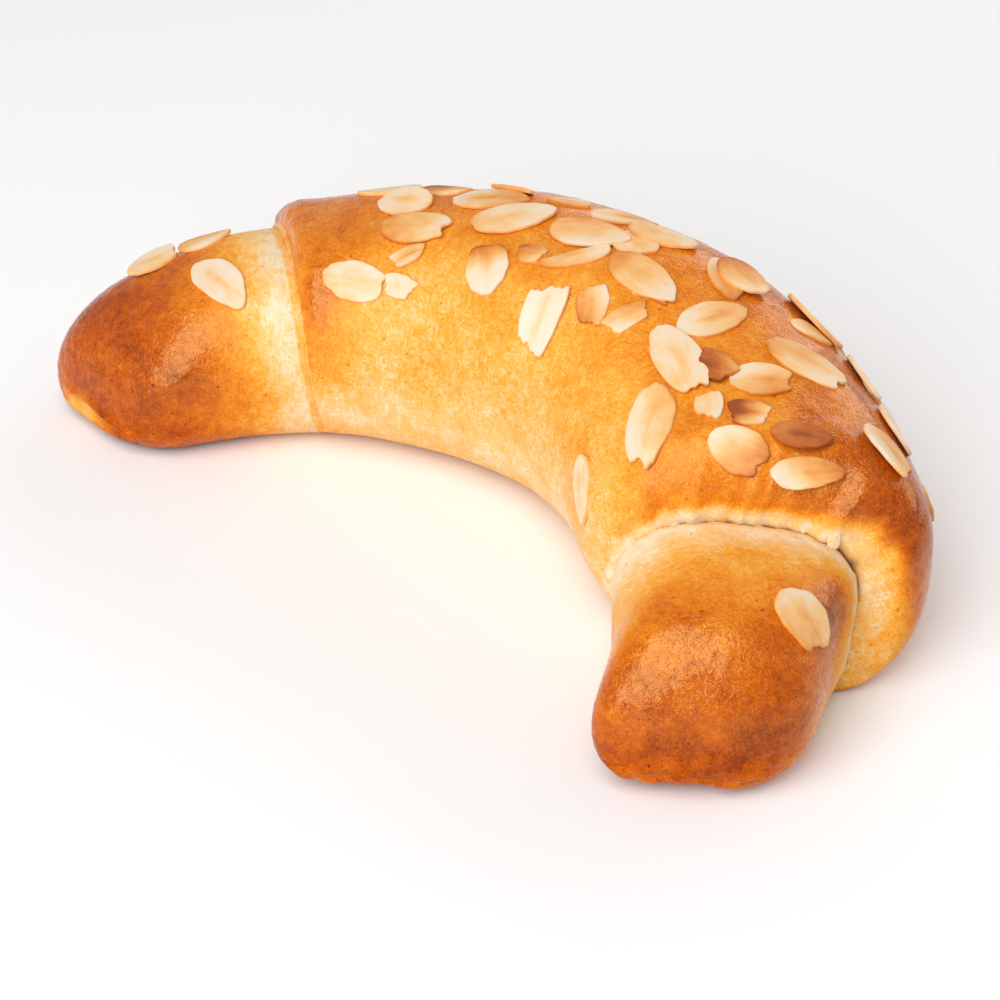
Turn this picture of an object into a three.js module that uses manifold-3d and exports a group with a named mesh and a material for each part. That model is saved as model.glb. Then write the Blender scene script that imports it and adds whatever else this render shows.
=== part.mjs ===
// A crescent roll of sweet bun dough with flaked almonds baked onto its crust.
// One sheet of dough is rolled up: its last turn wraps the middle, and a horn comes out of it at each end.
// Millimetres, +Z up. The roll lies on its flat base, its back towards +Y, both horns towards -Y.

import * as THREE from 'three';
import { mergeVertices } from 'three/addons/utils/BufferGeometryUtils.js';
import Module from 'manifold-3d';

const { clamp, degToRad, lerp } = THREE.MathUtils;

// The middle line of the roll
const LENGTH = 226;
const HALF = LENGTH / 2;
const LINE_STEPS = 200;

// The cross-section at the middle, and the form that every cross-section shares
const MIDDLE = [27.8, 52.6]; // half width and height
const CORE_LESS = 5; // how much smaller the rolled core is than the wrap at the middle
const WAIST = 0.45; // height of the widest line, as a share of the section's height
const TOP_POWER = 2.45; // 2 is an ellipse, more is squarer
const FOOT_POWER = 2.6;
const PRESSED = 2.6; // how far the underside is pressed flat
const FOOT_SOFT = 1.2; // rounding where the side meets the flat base

// The two ends. The mouth is where the horn comes out of the wrap; its edge runs slanting round the roll.
// evenBend is the share of the bend that is even, the rest gathers at the middle. The bows push the wrap's
// outer side and the horn off the middle line. Each pair is a half width and a height. The horn's pairs are
// at the mouth, halfway and at the tip.
const LEFT = {
  side: -1, bend: 68, evenBend: 0.57, mouth: 66.5, slant: 14.3, lowReach: 0,
  wrap: [24.3, 42.3], wrapShift: 2, shoulder: 3.9, lip: 0.35, outerLip: 0.35, wrapBow: 0, hornBow: -0.2,
  horn: [[21.3, 36.3], [19.8, 30.6], [17.6, 22.8]],
  tipRound: 21, tipTop: 2.7, planRound: 19, tipPlan: 2.9, tipSlant: 0.33, tipShift: 0,
};
const RIGHT = {
  side: 1, bend: 69, evenBend: 0.595, mouth: 69, slant: 14.3, lowReach: 5.7,
  wrap: [31.2, 45.8], wrapShift: 5.1, shoulder: 10.2, lip: 0.25, outerLip: 0.52, wrapBow: 2.1, hornBow: -1.1,
  horn: [[23.3, 30.5], [19.4, 31.5], [18.4, 26.9]],
  tipRound: 19.5, tipTop: 2.7, planRound: 12.4, tipPlan: 3.5, tipSlant: -0.3, tipShift: -4.1,
};
const TIP_HEIGHT = 0.2; // height of the tip's point, as a share of the horn's end
const MOUTH_REST = [12, 4]; // the horn keeps its mouth size from this far inside to this far outside
const HALFWAY_OUT = 4; // the halfway sizes lie this far beyond the middle of the horn
const WRAP_THIN = [1.5, 4]; // what the wrap loses in half width and height towards its edge
const CREASE_DEPTH = 1.2;
// The lip and the crease under it: [how far back, the same on the base, share of the lip, share of the depth]
const CREASE = [[0, 0, 1, 0], [0.3, -0.3, 0.3, 0], [2.2, -0.6, 0, 1], [-0.6, -1, 0, 0.2]];
const CREASE_OPEN = [-0.75, 0.5]; // sine of the angle where the crease starts to open, and over how much

// Angles round the roll in degrees: 0 outer side, 90 top, 180 inner side, 270 base
const EDGE_END = 230; // the wrap's edge spirals from here over the top to the outer side
const EDGE_RETURN = 80; // and goes back over this much of the base
const LOW_REACH = [70, 100]; // where the edge's outer end starts to reach further, and over how much
const THICK_LIP = [75, 60]; // the same for the lip's thicker outer part

// Unevenness of the crust: [height, waves along each 100 mm, waves round, start]
const SWELLS = [[0.5, 1.15, 1, 0.6], [0.35, 1.9, 2, 2.1], [0.25, 3.1, 3, 4.4], [0.2, 0.7, 5, 1.3]];

// Mesh fineness
const AROUND = 40;
const WRAP_ROWS = 20;
const SHOULDER_ROWS = 4;
const HORN_ROWS = 12;
const HORN_START = 3; // the horn's first row lies this far out of the mouth
const ROW_GATHER = 1.3; // more than 1 gathers the horn's rows at its tip

// Flaked almonds
const FLAKE_SIDES = 12;
const FLAKE_RISE = 0.9; // how far a flake's top stands above the crust
const FLAKE_SUNK = 1.3;
const FLAKE_BEVEL = 0.92; // the top's outline as a share of the foot's
const FLAKE_BEND = 0.7; // 1 follows the crust, 0 stays flat
const FLAKE_TAPER = 0.14; // how much narrower one end is
const FLAKE_FULL = 0.2; // how full the sides are against an ellipse
const BROKEN_END = 0.72; // a broken flake lost its end from here
const BROKEN_WAVE = [0.12, 5];
const PIECE_ENDS = [-0.62, 0.6]; // a piece is broken at both ends, slanting
const PIECE_SLANT = [-0.15, 0.2];
const HALF_SPLIT = -0.25; // a half flake is split along its length here
const FLAKES = [
  // along the roll, angle round it, turn of its long axis, length, width as a share, shape, tilt
  [-90.5, 57, 8, 13, 0.56, 'broken', 14],
  [-81.5, 58, 8, 12, 0.5, 'whole', 8],
  [-82.5, 104, -70, 17.5, 0.5, 'whole'],
  [-50, 131, -18, 15.5, 0.54, 'broken'],
  [-38.5, 134, -15, 11, 0.45, 'piece'],
  [-43, 83, -12, 13.5, 0.62, 'whole'],
  [-38, 104, -5, 17.5, 0.54, 'broken'],
  [-38, 120, 26, 11, 0.38, 'piece'],
  [-48, 61, -5, 14.5, 0.5, 'whole'],
  [-37, 67, 3, 11.5, 0.55, 'whole'],
  [-26.5, 78, 4, 17, 0.55, 'whole'],
  [-18.5, 93, 31, 17.5, 0.58, 'whole'],
  [-24, 68, -29, 11.5, 0.5, 'half', -20],
  [-16.5, 122, -59, 13, 0.68, 'broken'],
  [-7.5, 112, 13, 9, 0.55, 'piece'],
  [6.5, 134, -75, 21, 0.4, 'piece'],
  [3.5, 108, 55, 14, 0.5, 'half'],
  [-1, 90, 18, 17, 0.58, 'whole'],
  [8, 84, -15, 11.5, 0.75, 'broken'],
  [9, 72, 12, 15, 0.58, 'whole'],
  [-1, 68, 35, 14, 0.45, 'whole'],
  [-12, 71, 12, 9.5, 0.4, 'whole'],
  [17, 97, 1, 18, 0.49, 'whole'],
  [22.5, 102, 25, 7.5, 0.35, 'half'],
  [15.5, 119, -45, 13.5, 0.48, 'piece'],
  [24, 113, 85, 14, 0.4, 'piece'],
  [24, 71, -23, 13.5, 0.5, 'whole'],
  [25, 63, 16, 13.5, 0.6, 'whole', -18],
  [32.5, 88, 94, 15.5, 0.54, 'whole'],
  [41, 108, -1, 19.5, 0.48, 'broken'],
  [44.5, 98, 35, 10.5, 0.58, 'piece'],
  [49, 84, 79, 13, 0.66, 'broken'],
  [45.5, 64, 42, 17, 0.54, 'whole'],
  [36.5, 52, 58, 9, 0.5, 'whole'],
  [32.5, 44, 13, 15.5, 0.5, 'whole', -20],
  [53.5, 106, -16, 9.5, 0.58, 'piece'],
  [57, 94, 74, 11, 0.6, 'piece'],
  [54, 127, -31, 19.5, 0.48, 'whole'],
  [64, 99, 57, 13.5, 0.62, 'broken'],
  [62.5, 79, 81, 11.5, 0.56, 'whole', -14],
  [67, 74, 117, 14.5, 0.5, 'half'],
  [63, 48, 40, 14, 0.5, 'broken', -10],
  [43.5, 37, 9, 11, 0.5, 'whole', -16],
  [54.5, 36, 9, 13, 0.5, 'whole', -10],
  [94.5, 51, 56, 15.5, 0.62, 'broken'],
  [51.5, 165, -50, 12.5, 0.5, 'whole'],
];
// More of them where the back can't be seen from the front, scattered by a fixed rule
const BACK_FLAKES = 10;
const BACK_FROM = -66;
const BACK_STEP = 13.5;
const BACK_LOW = 5;
const BACK_BAND = 22;
const BACK_STRAY = 7;
const BACK_LENGTH = [13, 17];
const BACK_SHARE = 0.54;

const ramp = (x) => {
  const t = clamp(x, 0, 1);
  return t * t * (3 - 2 * t);
};

// A smooth curve through [distance, size] stations, level at the first
function through(stations, at) {
  const last = stations.length - 1;
  const slope = (i) => {
    if (i === 0) return 0;
    const [a, b] = [stations[i - 1], stations[Math.min(i + 1, last)]];
    return (b[1] - a[1]) / (b[0] - a[0]);
  };
  let i = 0;
  while (i < last - 1 && at >= stations[i + 1][0]) i += 1;
  const [[x0, y0], [x1, y1]] = [stations[i], stations[i + 1]];
  const span = x1 - x0;
  const t = clamp((at - x0) / span, 0, 1);
  return y0 * (1 + 2 * t) * (1 - t) ** 2 + slope(i) * span * t * (1 - t) ** 2
    + y1 * t * t * (3 - 2 * t) + slope(i + 1) * span * t * t * (t - 1);
}

// Half of the middle line, walked out from the middle as a table of [x, y, heading]
function walk(end) {
  const step = HALF / LINE_STEPS;
  const heading = (i) => {
    const u = i / LINE_STEPS;
    return -end.side * degToRad(end.bend) * lerp(Math.sin(u * Math.PI / 2), u, end.evenBend);
  };
  const line = [[0, 0, 0]];
  for (let i = 1; i <= LINE_STEPS; i += 1) {
    const [x, y] = line[i - 1];
    const mean = (heading(i - 1) + heading(i)) / 2;
    line.push([x + end.side * step * Math.cos(mean), y + end.side * step * Math.sin(mean), heading(i)]);
  }
  return line;
}
const LINES = { [LEFT.side]: walk(LEFT), [RIGHT.side]: walk(RIGHT) };

function middleLine(along) {
  const line = LINES[along < 0 ? LEFT.side : RIGHT.side];
  const at = Math.abs(along) / HALF * LINE_STEPS;
  const i = Math.min(Math.floor(at), LINE_STEPS - 1);
  return line[i].map((v, k) => v + (line[i + 1][k] - v) * (at - i));
}

const endOf = (along) => (along < 0 ? LEFT : RIGHT);

// 1 at the start of the outer low side, 0 up and over the top, and back to 1 under the base
function outerShare(round, [start, over]) {
  return round <= EDGE_END ? ramp((start - round) / over) : ramp((round - EDGE_END) / EDGE_RETURN);
}

// The angle between -50 and 310 degrees
const turned = (round) => {
  const least = EDGE_END + EDGE_RETURN - 360;
  return ((round - least) % 360 + 360) % 360 + least;
};

// Where the wrap's edge lies at an angle round the roll, as a distance from the middle
function edge(end, round) {
  const angle = turned(round);
  const share = angle <= EDGE_END
    ? (EDGE_END - angle) / (360 - EDGE_RETURN) : ramp((angle - EDGE_END) / EDGE_RETURN);
  return end.mouth + end.slant * (share - 0.5) + end.lowReach * outerShare(angle, LOW_REACH);
}

// Thickness of the wrap's lip, as a share of the step from the horn up to the wrap
const lip = (end, round) => lerp(end.lip, end.outerLip, outerShare(turned(round), THICK_LIP));

function swell(along, round) {
  const wave = ([height, waves, turns, start]) => (
    height * Math.sin(along * waves * 2 * Math.PI / 100 + start) * Math.sin(degToRad(round) * turns + start));
  return SWELLS.reduce((sum, one) => sum + wave(one), 0);
}

// A point on the dough. share is 0 on the horn's own surface and 1 on the wrap's; extra thickens the section.
function dough(along, round, share, extra = 0) {
  const end = endOf(along);
  const far = Math.abs(along);
  const [width, height] = [0, 1].map((k) => {
    const horn = through([
      [0, MIDDLE[k] - CORE_LESS],
      [end.mouth - MOUTH_REST[0], end.horn[0][k]],
      [end.mouth + MOUTH_REST[1], end.horn[0][k]],
      [(end.mouth + HALF) / 2 + HALFWAY_OUT, end.horn[1][k]],
      [HALF, end.horn[2][k]],
    ], far);
    const wrap = through([
      [0, MIDDLE[k]],
      [end.mouth - end.shoulder, end.wrap[k]],
      [end.mouth + end.slant, end.wrap[k] - WRAP_THIN[k]],
    ], far);
    return lerp(horn, wrap, share) + extra + swell(along, round);
  });

  // The cross-section, its underside cut off level
  const [c, s] = [Math.cos(degToRad(round)), Math.sin(degToRad(round))];
  const power = s >= 0 ? TOP_POWER : FOOT_POWER;
  const reach = (Math.abs(c) ** power + Math.abs(s) ** power) ** (-1 / power);
  const waist = WAIST * height;
  let z = waist + (s >= 0 ? height - waist : waist + PRESSED) * s * reach;
  if (z < -FOOT_SOFT) z = 0;
  else if (z < FOOT_SOFT) z = (z + FOOT_SOFT) ** 2 / (4 * FOOT_SOFT);

  // The horn closes towards its tip, more squarely in plan than in height
  const closing = clamp((far - HALF + end.tipRound) / end.tipRound, 0, 1);
  const narrowing = clamp((far - HALF + end.planRound) / end.planRound, 0, 1);
  const plan = (1 - narrowing ** end.tipPlan) ** (1 / end.tipPlan);
  const top = (1 - closing ** end.tipTop) ** (1 / end.tipTop);
  const out = clamp((far - end.mouth) / (HALF - end.mouth), 0, 1);
  const under = clamp(far / end.mouth, 0, 1);
  const lateral = width * c * reach * plan;
  const across = lateral + end.tipShift * out ** 2 + end.hornBow * Math.sin(Math.PI * out)
    + share * end.wrapShift * under ** 2 + end.wrapBow * Math.sin(Math.PI * under) * (1 + c) / 2;
  z = lerp(TIP_HEIGHT * end.horn[2][1], z, top);
  const [x, y, heading] = middleLine(along + end.side * end.tipSlant * lateral * out);
  return new THREE.Vector3(x - Math.sin(heading) * across, y + Math.cos(heading) * across, z);
}

// The crust as seen from outside, at any distance along the roll: horn, shoulder or wrap
function crust(along, round) {
  const end = endOf(along);
  const before = edge(end, round) - Math.abs(along);
  if (before <= 0) return dough(along, round, 0);
  const rise = Math.sqrt(1 - clamp(1 - before / end.shoulder, 0, 1) ** 2);
  return dough(along, round, lerp(lip(end, round), 1, rise));
}

// The rows of one end from the wrap out to the tip, each a function of the angle that gives a point
function endRows(end) {
  const list = [];
  for (let i = 1; i < SHOULDER_ROWS; i += 1) {
    const turn = i / SHOULDER_ROWS * Math.PI / 2;
    list.push((round) => dough(
      end.side * (edge(end, round) - end.shoulder * (1 - Math.sin(turn))), round,
      lerp(lip(end, round), 1, Math.cos(turn))));
  }
  const [opening, over] = CREASE_OPEN;
  for (const [back, flat, share, depth] of CREASE) {
    list.push((round) => {
      const open = ramp((Math.sin(degToRad(round)) - opening) / over);
      return dough(end.side * (edge(end, round) - lerp(flat, back, open)), round,
        share * lip(end, round), -CREASE_DEPTH * depth * open);
    });
  }
  for (let i = 0; i <= HORN_ROWS; i += 1) {
    const out = 1 - (1 - i / HORN_ROWS) ** ROW_GATHER;
    list.push((round) => dough(end.side * lerp(edge(end, round) + HORN_START, HALF, out), round, 0));
  }
  return list;
}

// The whole roll as a sphere's rows and columns, moved to their places: the poles are the two tips
function doughGeometry() {
  const wrapRows = [];
  for (let i = 0; i <= WRAP_ROWS; i += 1) {
    wrapRows.push((round) => dough(lerp(
      edge(RIGHT, round) - RIGHT.shoulder, LEFT.shoulder - edge(LEFT, round), i / WRAP_ROWS), round, 1));
  }
  const rows = [...endRows(RIGHT).reverse(), ...wrapRows, ...endRows(LEFT)];
  const geometry = new THREE.SphereGeometry(1, AROUND, rows.length - 1);
  const position = geometry.getAttribute('position');
  rows.forEach((row, j) => {
    for (let i = 0; i <= AROUND; i += 1) {
      const { x, y, z } = row(i % AROUND * 360 / AROUND);
      position.setXYZ(j * (AROUND + 1) + i, x, y, z);
    }
  });
  return geometry;
}

// Outline of a flake at a share of the way round it, as [along its length, across], each from -1 to 1
function outline(turn, shape) {
  let along = Math.cos(turn);
  let across = Math.sin(turn) * Math.abs(Math.sin(turn)) ** FLAKE_FULL * (1 - FLAKE_TAPER * along);
  if (shape === 'broken') {
    const [height, waves] = BROKEN_WAVE;
    along = Math.min(along, BROKEN_END + height * Math.sin(waves * across));
  }
  if (shape === 'piece') {
    const [near, far] = PIECE_ENDS.map((at, k) => at + PIECE_SLANT[k] * across);
    along = clamp(along, near, far);
  }
  if (shape === 'half') across = Math.max(across, HALF_SPLIT);
  return [along, across];
}

function flakeGeometry([along, round, turn, length, share, shape, tilt = 0]) {
  const centre = crust(along, round);
  const stepAlong = crust(along + 1, round).sub(crust(along - 1, round)).multiplyScalar(0.5);
  const stepRound = crust(along, round - 2).sub(crust(along, round + 2)).multiplyScalar(0.25);
  const ahead = stepAlong.clone().normalize();
  const up = ahead.clone().cross(stepRound).normalize();
  const side = up.clone().cross(ahead);
  const [cos, sin] = [Math.cos(degToRad(turn)), Math.sin(degToRad(turn))];

  const geometry = new THREE.CylinderGeometry(FLAKE_BEVEL, 1, 1, FLAKE_SIDES, 1);
  const position = geometry.getAttribute('position');
  for (let i = 0; i < position.count; i += 1) {
    const radius = Math.hypot(position.getX(i), position.getZ(i));
    const [a, b] = outline(Math.atan2(-position.getZ(i), position.getX(i)), shape);
    const long = a * radius * length / 2;
    const wide = b * radius * share * length / 2;
    const onward = long * cos - wide * sin;
    const outward = long * sin + wide * cos;
    const flat = centre.clone().addScaledVector(ahead, onward).addScaledVector(side, outward);
    const laid = crust(along + onward / stepAlong.length(), round - outward / stepRound.length());
    const lean = Math.sin(degToRad(tilt));
    const lift = Math.max(0, wide * lean + Math.abs(lean) * share * length / 2);
    const height = position.getY(i) > 0 ? FLAKE_RISE + lift : lift - FLAKE_SUNK;
    const { x, y, z } = flat.lerp(laid, FLAKE_BEND).addScaledVector(up, height);
    position.setXYZ(i, x, y, z);
  }
  return geometry;
}

// Solid joining
const wasm = await Module();
wasm.setup();

function solid(geometry) {
  geometry.deleteAttribute('normal');
  geometry.deleteAttribute('uv');
  const merged = mergeVertices(geometry, 1e-4);
  return new wasm.Manifold(new wasm.Mesh({
    numProp: 3,
    vertProperties: new Float32Array(merged.getAttribute('position').array),
    triVerts: new Uint32Array(merged.getIndex().array),
  }));
}

function geometryOf(manifold) {
  const mesh = manifold.getMesh();
  const geometry = new THREE.BufferGeometry();
  geometry.setAttribute('position', new THREE.BufferAttribute(mesh.vertProperties, mesh.numProp));
  geometry.setIndex(new THREE.BufferAttribute(mesh.triVerts, 1));
  geometry.computeVertexNormals();
  return geometry;
}

// Even but unordered numbers from 0 to 1, the same each time
const GOLDEN = (Math.sqrt(5) - 1) / 2;
const chance = (seed) => (seed * GOLDEN) % 1;

for (let i = 0; i < BACK_FLAKES; i += 1) {
  const [a, b, c, d] = [4, 7, 10, 17].map((k) => chance(i * k + k));
  FLAKES.push([BACK_FROM + BACK_STEP * i + BACK_STRAY * a, BACK_LOW + BACK_BAND * b, 180 * c,
    lerp(...BACK_LENGTH, d), BACK_SHARE, 'whole']);
}

const roll = FLAKES.reduce((whole, flake) => whole.add(solid(flakeGeometry(flake))), solid(doughGeometry()));

// The origin is under the middle of the bounding box, on the base
const { min, max } = roll.boundingBox();
const geometry = geometryOf(roll).translate(-(min[0] + max[0]) / 2, -(min[1] + max[1]) / 2, -min[2]);

const croissant = new THREE.Mesh(geometry, new THREE.MeshStandardMaterial({
  color: '#c87a32', roughness: 0.45, metalness: 0 }));
croissant.name = 'croissant';

const group = new THREE.Group();
group.add(croissant);

export default group;
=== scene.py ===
# %% [markdown]
# # Almond croissant
# A crescent roll of soft sweet dough, brushed with egg and strewn with flaked almonds, then baked.
# One sheet of dough is rolled up: its last turn wraps the middle, and a horn comes out at each end.
# The solid model gives the form. This script builds the same form again on a finer mesh, so that
# the glaze can wrinkle and every almond flake can be a thin slice of its own, and colours them.

# %% Load the fixed frame
import math

import bmesh
import bpy
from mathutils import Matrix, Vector, noise


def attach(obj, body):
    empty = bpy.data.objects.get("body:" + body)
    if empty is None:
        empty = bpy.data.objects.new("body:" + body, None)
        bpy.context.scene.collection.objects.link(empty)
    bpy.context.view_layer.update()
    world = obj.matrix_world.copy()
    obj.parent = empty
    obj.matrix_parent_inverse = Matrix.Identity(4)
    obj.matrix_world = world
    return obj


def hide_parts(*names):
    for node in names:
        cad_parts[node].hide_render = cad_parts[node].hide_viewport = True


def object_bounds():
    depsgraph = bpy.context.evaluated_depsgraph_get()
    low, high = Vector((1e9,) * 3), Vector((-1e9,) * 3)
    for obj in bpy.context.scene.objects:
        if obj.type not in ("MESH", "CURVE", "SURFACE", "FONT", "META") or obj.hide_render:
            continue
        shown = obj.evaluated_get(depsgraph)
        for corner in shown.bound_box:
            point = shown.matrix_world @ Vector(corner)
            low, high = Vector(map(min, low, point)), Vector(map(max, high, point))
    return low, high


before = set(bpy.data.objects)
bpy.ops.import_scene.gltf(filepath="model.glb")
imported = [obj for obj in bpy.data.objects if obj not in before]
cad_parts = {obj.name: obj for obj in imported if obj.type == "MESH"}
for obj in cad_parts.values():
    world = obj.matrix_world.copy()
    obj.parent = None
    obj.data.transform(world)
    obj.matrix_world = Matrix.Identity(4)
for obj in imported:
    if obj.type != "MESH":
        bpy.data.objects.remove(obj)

MM = 0.001
# Noise that gives a direction starts from offsets drawn at random, so they are fixed here
NOISE_SEED = 5
noise.seed_set(NOISE_SEED)
cad_box = [list(corner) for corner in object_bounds()]
print("solid model, in mm:", [round((b - a) / MM, 1) for a, b in zip(*cad_box)])

# %% [markdown]
# ## The camera
# The photo was taken from in front and above, with a long lens close to the roll.
# A camera could be placed by eye. Here its direction, distance and focal length are named values,
# found by laying the roll's outline over the photo, so that the proportions can be compared.

# %% Camera
CAMERA_TURN = 41.97
CAMERA_RISE = 38
CAMERA_AWAY = 477.3 * MM
CAMERA_AIM = Vector((18.35, -21.83, 21)) * MM
SENSOR = 36
LENS = 90.17


def set_up(name, data, aim, turn, rise, away):
    """Points a camera or a light at aim, from a turn out of -Y and a rise, both in degrees."""
    turn, rise = math.radians(turn), math.radians(rise)
    direction = Vector((
        math.sin(turn) * math.cos(rise), -math.cos(turn) * math.cos(rise), math.sin(rise)))
    made = bpy.data.objects.new(name, data)
    made.location = aim + direction * away
    made.rotation_euler = direction.to_track_quat("Z", "Y").to_euler()
    bpy.context.scene.collection.objects.link(made)
    return made


camera_data = bpy.data.cameras.new("camera")
camera_data.sensor_width = SENSOR
camera_data.lens = LENS
camera_data.clip_start = 0.01
camera = set_up("camera", camera_data, CAMERA_AIM, CAMERA_TURN, CAMERA_RISE, CAMERA_AWAY)
bpy.context.scene.camera = camera
print("camera at", [round(v, 3) for v in camera.location])

# %% [markdown]
# ## The form of the dough
# The roll is a bent sausage with a flat base. Its middle line is walked out from the middle to each
# tip, and a cross-section that is squarer than an ellipse runs along it. Sculpting could do this too,
# but a rule keeps it equal to the solid model. The angle round the roll is 0 on the outer side of
# the curve, 90 on top, 180 on the inner side and 270 on the base.

# %% Sizes of the roll
HALF = 113 * MM
LINE_STEPS = 200
# Half width and height at the middle, and how much smaller the rolled core is there
MIDDLE = (27.8 * MM, 52.6 * MM)
CORE_LESS = 5 * MM
# The widest line's share of the height; a power of 2 is an ellipse, more is squarer
WAIST = 0.45
TOP_POWER = 2.45
FOOT_POWER = 2.6
PRESSED = 2.6 * MM
FOOT_SOFT = 1.2 * MM
# The horn keeps its size so far before and after its mouth
MOUTH_REST = (12 * MM, 4 * MM)
HALFWAY_OUT = 4 * MM
# How much the wrap loses in half width and height at its edge
WRAP_THIN = (1.5 * MM, 4 * MM)
TIP_HEIGHT = 0.2
ORIGIN = Vector((-2.84, -22.82, 0)) * MM


def in_metres(end):
    lengths = ("mouth", "slant", "low_reach", "wrap_shift", "shoulder", "wrap_bow", "horn_bow",
               "tip_round", "plan_round", "tip_shift")
    pairs = {
        "wrap": [v * MM for v in end["wrap"]],
        "horn": [[v * MM for v in pair] for pair in end["horn"]]}
    return {**end, **{name: end[name] * MM for name in lengths}, **pairs}


# Pairs are half widths and heights, the horn's at its mouth, halfway out and at its end
LEFT = in_metres({
    "side": -1, "bend": math.radians(68), "even_bend": 0.57,
    "mouth": 66.5, "slant": 14.3, "low_reach": 0,
    "wrap": [24.3, 42.3], "wrap_shift": 2, "shoulder": 3.9, "lip": 0.35, "outer_lip": 0.35,
    "wrap_bow": 0, "horn_bow": -0.2, "horn": [[21.3, 36.3], [19.8, 30.6], [17.6, 22.8]],
    "tip_round": 21, "tip_top": 2.7, "plan_round": 19, "tip_plan": 2.9,
    "tip_slant": 0.33, "tip_shift": 0})
RIGHT = in_metres({
    "side": 1, "bend": math.radians(69), "even_bend": 0.595,
    "mouth": 69, "slant": 14.3, "low_reach": 5.7,
    "wrap": [31.2, 45.8], "wrap_shift": 5.1, "shoulder": 10.2, "lip": 0.25, "outer_lip": 0.52,
    "wrap_bow": 2.1, "horn_bow": -1.1, "horn": [[23.3, 30.5], [19.4, 31.5], [18.4, 26.9]],
    "tip_round": 19.5, "tip_top": 2.7, "plan_round": 12.4, "tip_plan": 3.5,
    "tip_slant": -0.3, "tip_shift": -4.1})
print("length along the middle line:", round(2 * HALF / MM), "mm")


# %% Curves and angles
def clamp(x, low=0.0, high=1.0):
    return min(max(x, low), high)


def lerp(a, b, share):
    return a + (b - a) * share


def ramp(x):
    t = clamp(x)
    return t * t * (3 - 2 * t)


def on_circle(degrees):
    return math.cos(math.radians(degrees)), math.sin(math.radians(degrees))


def through(stations, at):
    """A smooth curve through (distance, size) stations, level at the first."""
    last = len(stations) - 1

    def slope(i):
        if i == 0:
            return 0
        a, b = stations[i - 1], stations[min(i + 1, last)]
        return (b[1] - a[1]) / (b[0] - a[0])

    i = 0
    while i < last - 1 and at >= stations[i + 1][0]:
        i += 1
    (x0, y0), (x1, y1) = stations[i], stations[i + 1]
    span = x1 - x0
    t = clamp((at - x0) / span)
    return (y0 * (1 + 2 * t) * (1 - t) ** 2 + slope(i) * span * t * (1 - t) ** 2
            + y1 * t * t * (3 - 2 * t) + slope(i + 1) * span * t * t * (t - 1))


print("halfway through a step of 1:", through([(0, 0), (1, 1)], 0.5))


# %% The middle line
def walk(end):
    """Half of the middle line, as a table of (x, y, heading)."""
    step = HALF / LINE_STEPS

    def heading(i):
        u = i / LINE_STEPS
        return -end["side"] * end["bend"] * lerp(math.sin(u * math.pi / 2), u, end["even_bend"])

    line = [(0.0, 0.0, 0.0)]
    for i in range(1, LINE_STEPS + 1):
        x, y, _ = line[-1]
        mean = (heading(i - 1) + heading(i)) / 2
        x += end["side"] * step * math.cos(mean)
        y += end["side"] * step * math.sin(mean)
        line.append((x, y, heading(i)))
    return line


for end in (LEFT, RIGHT):
    end["line"] = walk(end)


def end_of(along):
    return LEFT if along < 0 else RIGHT


def middle_line(along):
    line = end_of(along)["line"]
    at = abs(along) / HALF * LINE_STEPS
    i = min(int(at), LINE_STEPS - 1)
    return [a + (b - a) * (at - i) for a, b in zip(line[i], line[i + 1])]


tips = [[round(v / MM) for v in middle_line(side * HALF)[:2]] for side in (-1, 1)]
print("tips of the middle line, in mm:", tips)

# %% [markdown]
# ## The wrap and its edge
# The last turn of dough ends in an edge that spirals round the roll at each side. Above it the dough
# is thicker, below it the horn comes out, and between them is a pale crease that the oven never
# browned. A share tells every point where it is: 0 on the horn's own surface and 1 on the wrap's.

# %% Edge, lip and unevenness
# Degrees round the roll: where the edge begins to return under the base, and over how many
EDGE_END = 230
EDGE_RETURN = 80
# The edge's outer end reaches further and has a thicker lip: from which angle, over how many
LOW_REACH = (70, 100)
THICK_LIP = (75, 60)
# Height in mm, waves along the roll per 100 mm, waves round it, start
SWELLS = [(0.5, 1.15, 1, 0.6), (0.35, 1.9, 2, 2.1), (0.25, 3.1, 3, 4.4), (0.2, 0.7, 5, 1.3)]
RAGGED = 0.35 * MM
RAGGED_WAVES = 9
# Where the torn lip hangs over the crease: angle, half its width in degrees, how far in mm
FLAPS = {-1: [], 1: [(55, 5, 1.1), (92, 2.2, 0.5), (86, 2, 0.35), (112, 2, 0.3)]}


def turned(angle):
    least = EDGE_END + EDGE_RETURN - 360
    return (angle - least) % 360 + least


def outer_share(angle, start, over):
    if angle <= EDGE_END:
        return ramp((start - angle) / over)
    return ramp((angle - EDGE_END) / EDGE_RETURN)


def edge(end, angle):
    """How far from the middle the wrap's edge lies, a little ragged where the dough tore."""
    a = turned(angle)
    if a <= EDGE_END:
        share = (EDGE_END - a) / (360 - EDGE_RETURN)
    else:
        share = ramp((a - EDGE_END) / EDGE_RETURN)
    torn = RAGGED * noise.noise(Vector((*on_circle(a), end["side"])) * RAGGED_WAVES)
    flaps = FLAPS[end["side"]]
    torn += sum(over * MM * math.exp(-((a - at) / half) ** 2) for at, half, over in flaps)
    spiral = end["mouth"] + end["slant"] * (share - 0.5)
    return spiral + end["low_reach"] * outer_share(a, *LOW_REACH) + torn


def lip(end, angle):
    return lerp(end["lip"], end["outer_lip"], outer_share(turned(angle), *THICK_LIP))


def swell(along, angle):
    """Slow dents and swellings, up to half a millimetre each."""
    return sum(
        height * MM * math.sin(along / MM * waves * 2 * math.pi / 100 + start)
        * math.sin(math.radians(angle) * turns + start)
        for height, waves, turns, start in SWELLS)


inner, outer = [round(edge(RIGHT, angle) / MM) for angle in (180, 0)]
print("the right edge runs from", inner, "to", outer, "mm")


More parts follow.
